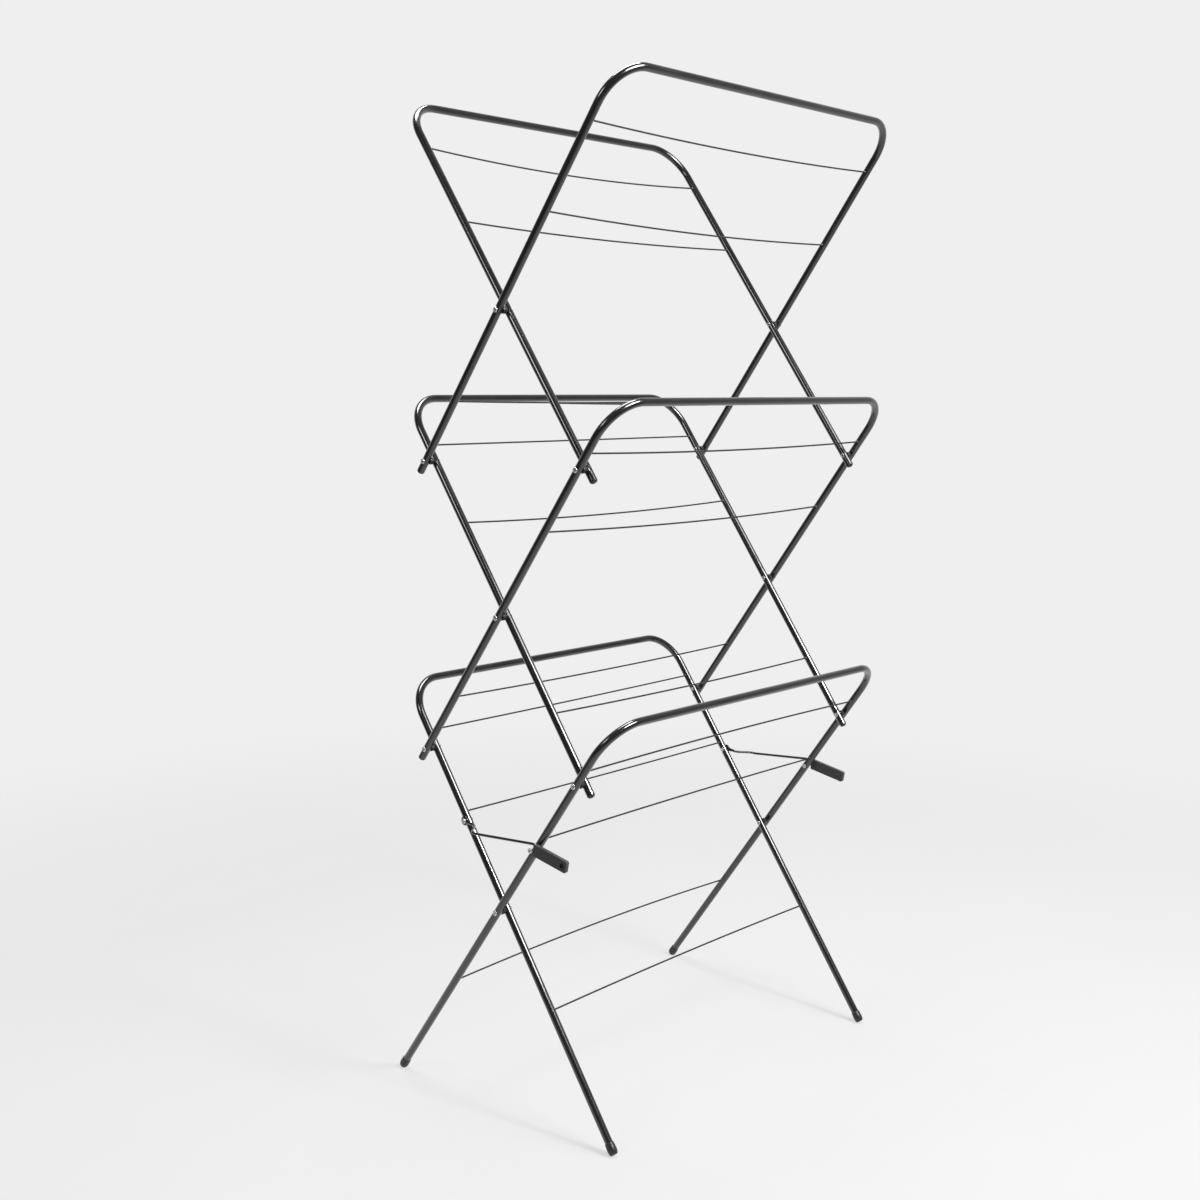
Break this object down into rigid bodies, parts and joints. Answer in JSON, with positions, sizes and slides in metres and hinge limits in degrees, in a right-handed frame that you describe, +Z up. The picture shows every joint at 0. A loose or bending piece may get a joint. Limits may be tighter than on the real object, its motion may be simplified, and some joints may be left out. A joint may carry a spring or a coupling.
{
  "type": "folding clothes airer",
  "caption": "Free-standing concertina clothes airer: stacked pairs of crossed U-shaped tube hoops with wire rails, riveted joints and swing-down lock arms.",
  "frame": {"origin": "on the floor, under the middle of the open airer's bounding box", "axes": "+Z up; X along the bars and rails; -Y is the front, where the lower wide hoop's top bar and the lock handles are"},
  "size_m": [0.6544, 0.4212, 1.3969],
  "materials": {
    "gloss_black_coat": "glossy black powder coat on steel tube",
    "rail_coat": "satin black plastic-dipped steel wire",
    "zinc_rivet": "bright zinc-plated steel",
    "foot_plastic": "moulded black polyethylene, satin",
    "plug_plastic": "moulded black polyethylene, satin",
    "handle_plastic": "moulded black polypropylene, fine spark texture"
  },
  "bodies": {
    "lower_narrow_frame": {"lower_narrow_hoop": "gloss_black_coat", "lower_narrow_rail_1": "rail_coat", "lower_narrow_rail_2": "rail_coat", "lower_narrow_rail_3": "rail_coat", "front_foot_left": "foot_plastic", "front_foot_right": "foot_plastic", "lower_scissor_pivot_left": "zinc_rivet", "lower_scissor_pivot_right": "zinc_rivet", "lower_rear_joint_left": "zinc_rivet", "lower_rear_joint_right": "zinc_rivet", "lock_arm_rivet_left": "zinc_rivet", "lock_arm_rivet_right": "zinc_rivet"},
    "lower_wide_frame": {"lower_wide_hoop": "gloss_black_coat", "lower_wide_rail_1": "rail_coat", "lower_wide_rail_2": "rail_coat", "lower_wide_rail_3": "rail_coat", "rear_foot_left": "foot_plastic", "rear_foot_right": "foot_plastic", "lower_front_joint_left": "zinc_rivet", "lower_front_joint_right": "zinc_rivet", "lock_stud_left": "zinc_rivet", "lock_stud_right": "zinc_rivet"},
    "middle_wide_frame": {"middle_wide_hoop": "gloss_black_coat", "middle_wide_rail_1": "rail_coat", "middle_wide_rail_2": "rail_coat", "middle_wide_rail_3": "rail_coat", "middle_wide_plug_left": "plug_plastic", "middle_wide_plug_right": "plug_plastic", "middle_front_joint_left": "zinc_rivet", "middle_front_joint_right": "zinc_rivet"},
    "middle_narrow_frame": {"middle_narrow_hoop": "gloss_black_coat", "middle_narrow_rail_1": "rail_coat", "middle_narrow_rail_2": "rail_coat", "middle_narrow_rail_3": "rail_coat", "middle_narrow_plug_left": "plug_plastic", "middle_narrow_plug_right": "plug_plastic", "middle_scissor_pivot_left": "zinc_rivet", "middle_scissor_pivot_right": "zinc_rivet", "middle_rear_joint_left": "zinc_rivet", "middle_rear_joint_right": "zinc_rivet"},
    "upper_narrow_frame": {"upper_narrow_hoop": "gloss_black_coat", "upper_narrow_rail_1": "rail_coat", "upper_narrow_rail_2": "rail_coat", "upper_narrow_rail_3": "rail_coat", "upper_narrow_plug_left": "plug_plastic", "upper_narrow_plug_right": "plug_plastic", "upper_scissor_pivot_left": "zinc_rivet", "upper_scissor_pivot_right": "zinc_rivet"},
    "upper_wide_frame": {"upper_wide_hoop": "gloss_black_coat", "upper_wide_rail_1": "rail_coat", "upper_wide_rail_2": "rail_coat", "upper_wide_rail_3": "rail_coat", "upper_wide_plug_left": "plug_plastic", "upper_wide_plug_right": "plug_plastic"},
    "lock_left": {"lock_arm_left": "gloss_black_coat", "lock_handle_left": "handle_plastic"},
    "lock_right": {"lock_arm_right": "gloss_black_coat", "lock_handle_right": "handle_plastic"}
  },
  "joints": [
    {"name": "fold", "type": "hinge", "parent": "lower_narrow_frame", "child": "lower_wide_frame", "pos_m": [0, 0, 0.28559], "axis": [-1, 0, 0], "range_deg": [0, 54]},
    {"name": "lower_rear_tier_joint", "type": "hinge", "parent": "lower_narrow_frame", "child": "middle_wide_frame", "pos_m": [0, 0.14446, 0.48962], "axis": [-1, 0, 0], "range_deg": [0, 54]},
    {"name": "lower_front_tier_joint", "type": "hinge", "parent": "lower_wide_frame", "child": "middle_narrow_frame", "pos_m": [0, -0.14446, 0.48962], "axis": [1, 0, 0], "range_deg": [0, 54]},
    {"name": "middle_front_tier_joint", "type": "hinge", "parent": "middle_wide_frame", "child": "upper_narrow_frame", "pos_m": [0, -0.14446, 0.89769], "axis": [1, 0, 0], "range_deg": [0, 54]},
    {"name": "middle_rear_tier_joint", "type": "hinge", "parent": "middle_narrow_frame", "child": "upper_wide_frame", "pos_m": [0, 0.14446, 0.89769], "axis": [-1, 0, 0], "range_deg": [0, 54]},
    {"name": "lock_left_swing", "type": "hinge", "parent": "lower_narrow_frame", "child": "lock_left", "pos_m": [-0.294, 0.07801, 0.39577], "axis": [-1, 0, 0], "range_deg": [0, 94.5]},
    {"name": "lock_right_swing", "type": "hinge", "parent": "lower_narrow_frame", "child": "lock_right", "pos_m": [0.294, 0.07801, 0.39577], "axis": [-1, 0, 0], "range_deg": [0, 94.5]}
  ],
  "couplings": [
    {"joint": "lower_rear_tier_joint", "follows": "fold", "ratio": 1},
    {"joint": "lower_front_tier_joint", "follows": "fold", "ratio": 1},
    {"joint": "middle_front_tier_joint", "follows": "fold", "ratio": 1},
    {"joint": "middle_rear_tier_joint", "follows": "fold", "ratio": 1},
    {"joint": "lock_left_swing", "follows": "fold", "ratio": 1.75},
    {"joint": "lock_right_swing", "follows": "fold", "ratio": 1.75}
  ]
}
